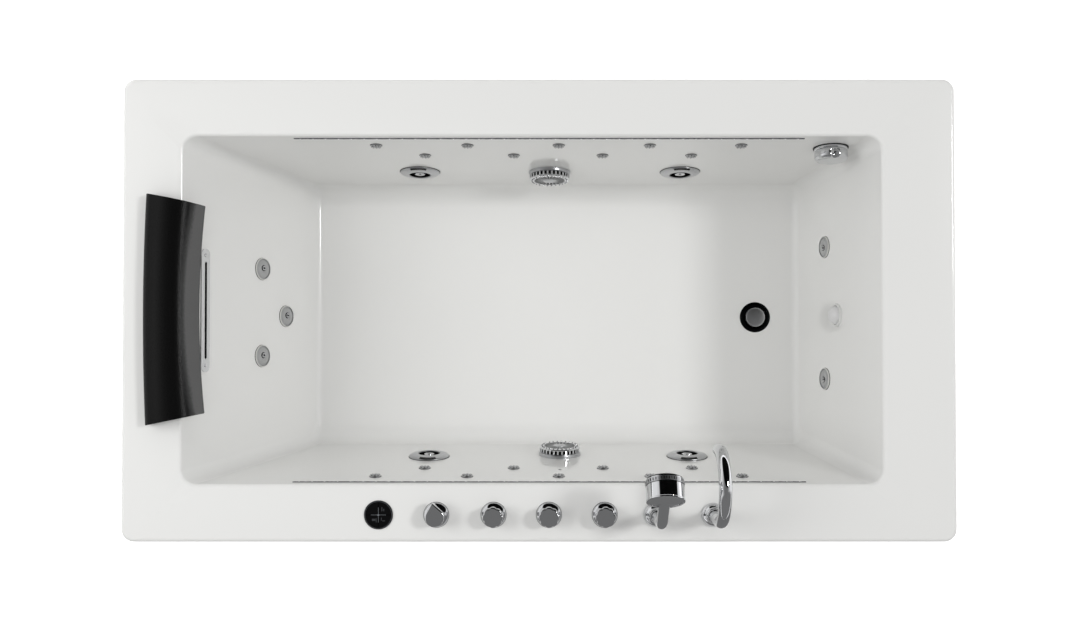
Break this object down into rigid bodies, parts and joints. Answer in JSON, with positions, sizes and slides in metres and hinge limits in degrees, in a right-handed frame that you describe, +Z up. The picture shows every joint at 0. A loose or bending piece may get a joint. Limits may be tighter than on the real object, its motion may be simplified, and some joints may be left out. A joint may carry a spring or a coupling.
{
  "type": "jetted bathtub",
  "caption": "Rectangular white acrylic jetted bath on a levelling frame, with jets, suction covers, deck taps, hand shower, head rest, drain, pump and blower.",
  "frame": {"origin": "on the floor under the middle of the rim", "axes": "+X along the bath towards the drain end, +Y away from the deck controls, +Z up"},
  "size_m": [1.8, 1, 0.8406],
  "materials": {
    "acrylic": "cast acrylic sheet, vacuum formed, high gloss white",
    "fibreglass": "chopped-strand glass laid in resin, rough",
    "plywood": "birch plywood, unfinished",
    "frame_steel": "galvanised square tube, grey",
    "foot_hardware": "zinc-plated stud and nut on a moulded pad",
    "white_pipe": "white PVC pipe and moulded fittings",
    "chrome": "polished chrome plate",
    "satin_chrome": "satin chrome plate",
    "plug_metal": "satin stainless steel",
    "grey_cap": "grey plated cap",
    "spray_face": "dark grey moulded face with rubber nozzles",
    "black_plastic": "black moulded plastic",
    "key_face": "black membrane key face",
    "frosted_lens": "white translucent acrylic",
    "light_strip": "smoke-tinted light strip",
    "valve_brass": "cast and turned brass",
    "pump_plastic": "glass-filled black plastic",
    "motor_paint": "dark painted motor casing",
    "pillow_skin": "moulded polyurethane foam with a fine matt grain"
  },
  "bodies": {
    "tub": {"tub_shell": "acrylic", "fibreglass_backing": "fibreglass", "base_board": "plywood", "base_frame": "frame_steel", "equipment_tray": "plywood", "levelling_feet": "foot_hardware", "jet_bodies": "white_pipe", "mini_jet_bodies": "white_pipe", "air_jets": "chrome", "suction_bodies": "white_pipe", "suction_covers": "chrome", "drain_flange": "chrome", "overflow_body": "chrome", "waste_pipework": "white_pipe", "popup_cable": "black_plastic", "waterfall_plate": "chrome", "light_housing": "chrome", "light_lens": "frosted_lens", "led_strips": "light_strip", "keypad_housing": "black_plastic", "valve_skirts": "chrome", "valve_bodies": "valve_brass", "spout_base": "chrome", "shower_holder": "chrome", "pump_volute": "pump_plastic", "pump_motor": "motor_paint", "blower_housing": "black_plastic", "pressure_pipes": "white_pipe", "suction_pipes": "white_pipe", "air_pipes": "white_pipe", "control_box": "black_plastic"},
    "jet_ring_1": {"jet_ring_1": "chrome"},
    "jet_ring_2": {"jet_ring_2": "chrome"},
    "jet_ring_3": {"jet_ring_3": "chrome"},
    "jet_ring_4": {"jet_ring_4": "chrome"},
    "jet_nozzle_1": {"jet_nozzle_1": "satin_chrome"},
    "jet_nozzle_2": {"jet_nozzle_2": "satin_chrome"},
    "jet_nozzle_3": {"jet_nozzle_3": "satin_chrome"},
    "jet_nozzle_4": {"jet_nozzle_4": "satin_chrome"},
    "mini_jet_eye_1": {"mini_jet_eye_1": "satin_chrome"},
    "mini_jet_eye_2": {"mini_jet_eye_2": "satin_chrome"},
    "mini_jet_eye_3": {"mini_jet_eye_3": "satin_chrome"},
    "mini_jet_eye_4": {"mini_jet_eye_4": "satin_chrome"},
    "mini_jet_eye_5": {"mini_jet_eye_5": "satin_chrome"},
    "keypad_key_1": {"keypad_key_1": "key_face"},
    "keypad_key_2": {"keypad_key_2": "key_face"},
    "keypad_key_3": {"keypad_key_3": "key_face"},
    "keypad_key_4": {"keypad_key_4": "key_face"},
    "air_regulator_knob": {"air_regulator_knob": "grey_cap"},
    "hot_water_knob": {"hot_water_knob": "grey_cap"},
    "cold_water_knob": {"cold_water_knob": "grey_cap"},
    "diverter_knob": {"diverter_knob": "grey_cap"},
    "spout": {"spout": "chrome"},
    "overflow_knob": {"overflow_knob": "chrome"},
    "drain_plug": {"drain_plug": "plug_metal"},
    "pump_impeller": {"pump_impeller": "pump_plastic"},
    "blower_fan": {"blower_fan": "pump_plastic"},
    "pillow": {"pillow": "pillow_skin"},
    "hand_shower": {"hand_shower": "chrome", "hand_shower_face": "spray_face"}
  },
  "joints": [
    {"name": "jet_ring_1_turn", "type": "hinge", "parent": "tub", "child": "jet_ring_1", "pos_m": [-0.287, 0.33991, 0.31], "axis": [0, -0.9923, 0.1235], "range_deg": [0, 90]},
    {"name": "jet_nozzle_1_tilt", "type": "hinge", "parent": "jet_ring_1", "child": "jet_nozzle_1", "pos_m": [-0.287, 0.34785, 0.30901], "axis": [1, 0, 0], "range_deg": [-12, 12]},
    {"name": "jet_ring_2_turn", "type": "hinge", "parent": "tub", "child": "jet_ring_2", "pos_m": [0.339, 0.33991, 0.31], "axis": [0, -0.9923, 0.1235], "range_deg": [0, 90]},
    {"name": "jet_nozzle_2_tilt", "type": "hinge", "parent": "jet_ring_2", "child": "jet_nozzle_2", "pos_m": [0.339, 0.34785, 0.30901], "axis": [1, 0, 0], "range_deg": [-12, 12]},
    {"name": "jet_ring_3_turn", "type": "hinge", "parent": "tub", "child": "jet_ring_3", "pos_m": [-0.262, -0.3424, 0.33], "axis": [0, 0.9923, 0.1235], "range_deg": [0, 90]},
    {"name": "jet_nozzle_3_tilt", "type": "hinge", "parent": "jet_ring_3", "child": "jet_nozzle_3", "pos_m": [-0.262, -0.35034, 0.32901], "axis": [-1, 0, 0], "range_deg": [-12, 12]},
    {"name": "jet_ring_4_turn", "type": "hinge", "parent": "tub", "child": "jet_ring_4", "pos_m": [0.352, -0.3424, 0.33], "axis": [0, 0.9923, 0.1235], "range_deg": [0, 90]},
    {"name": "jet_nozzle_4_tilt", "type": "hinge", "parent": "jet_ring_4", "child": "jet_nozzle_4", "pos_m": [0.352, -0.35034, 0.32901], "axis": [-1, 0, 0], "range_deg": [-12, 12]},
    {"name": "mini_jet_eye_1_turn", "type": "hinge", "parent": "tub", "child": "mini_jet_eye_1", "pos_m": [-0.65573, 0.103, 0.353], "axis": [0.9062, 0, 0.4229], "continuous": true},
    {"name": "mini_jet_eye_2_turn", "type": "hinge", "parent": "tub", "child": "mini_jet_eye_2", "pos_m": [-0.61747, -0.007, 0.271], "axis": [0.9062, 0, 0.4229], "continuous": true},
    {"name": "mini_jet_eye_3_turn", "type": "hinge", "parent": "tub", "child": "mini_jet_eye_3", "pos_m": [-0.65573, -0.103, 0.353], "axis": [0.9062, 0, 0.4229], "continuous": true},
    {"name": "mini_jet_eye_4_turn", "type": "hinge", "parent": "tub", "child": "mini_jet_eye_4", "pos_m": [0.68617, 0.158, 0.315], "axis": [-0.9826, 0, 0.1856], "continuous": true},
    {"name": "mini_jet_eye_5_turn", "type": "hinge", "parent": "tub", "child": "mini_jet_eye_5", "pos_m": [0.68617, -0.158, 0.315], "axis": [-0.9826, 0, 0.1856], "continuous": true},
    {"name": "keypad_key_1_press", "type": "slide", "parent": "tub", "child": "keypad_key_1", "axis": [0, 0, -1], "range_m": [0, 0.001], "stiffness_N_per_m": 800},
    {"name": "keypad_key_2_press", "type": "slide", "parent": "tub", "child": "keypad_key_2", "axis": [0, 0, -1], "range_m": [0, 0.001], "stiffness_N_per_m": 800},
    {"name": "keypad_key_3_press", "type": "slide", "parent": "tub", "child": "keypad_key_3", "axis": [0, 0, -1], "range_m": [0, 0.001], "stiffness_N_per_m": 800},
    {"name": "keypad_key_4_press", "type": "slide", "parent": "tub", "child": "keypad_key_4", "axis": [0, 0, -1], "range_m": [0, 0.001], "stiffness_N_per_m": 800},
    {"name": "air_regulator_turn", "type": "hinge", "parent": "tub", "child": "air_regulator_knob", "pos_m": [-0.221, -0.441, 0.6], "axis": [0, 0, 1], "range_deg": [-90, 90]},
    {"name": "hot_water_turn", "type": "hinge", "parent": "tub", "child": "hot_water_knob", "pos_m": [-0.098, -0.441, 0.6], "axis": [0, 0, 1], "range_deg": [0, 90]},
    {"name": "cold_water_turn", "type": "hinge", "parent": "tub", "child": "cold_water_knob", "pos_m": [0.021, -0.441, 0.6], "axis": [0, 0, 1], "range_deg": [-90, 0]},
    {"name": "diverter_turn", "type": "hinge", "parent": "tub", "child": "diverter_knob", "pos_m": [0.141, -0.441, 0.6], "axis": [0, 0, 1], "range_deg": [-60, 60]},
    {"name": "spout_swivel", "type": "hinge", "parent": "tub", "child": "spout", "pos_m": [0.374, -0.441, 0.6], "axis": [0, 0, 1], "range_deg": [-60, 25]},
    {"name": "hand_shower_lift", "type": "slide", "parent": "tub", "child": "hand_shower", "axis": [0, 0, 1], "range_m": [0, 0.15]},
    {"name": "overflow_knob_turn", "type": "hinge", "parent": "tub", "child": "overflow_knob", "pos_m": [0.653, 0.36455, 0.508], "axis": [0, -0.9923, 0.1235], "range_deg": [0, 120]},
    {"name": "drain_plug_drop", "type": "slide", "parent": "tub", "child": "drain_plug", "axis": [0, 0, -1], "range_m": [0, 0.009]},
    {"name": "pump_impeller_spin", "type": "hinge", "parent": "tub", "child": "pump_impeller", "pos_m": [-0.76, -0.01, 0.206], "axis": [0, 1, 0], "continuous": true},
    {"name": "blower_fan_spin", "type": "hinge", "parent": "tub", "child": "blower_fan", "pos_m": [-0.76, -0.33, 0.1347], "axis": [0, 0, 1], "continuous": true},
    {"name": "pillow_lift", "type": "slide", "parent": "tub", "child": "pillow", "axis": [0, 0, 1], "range_m": [0, 0.1]}
  ],
  "couplings": [
    {"joint": "drain_plug_drop", "follows": "overflow_knob_turn", "m_per_rad": 0.0042971}
  ]
}
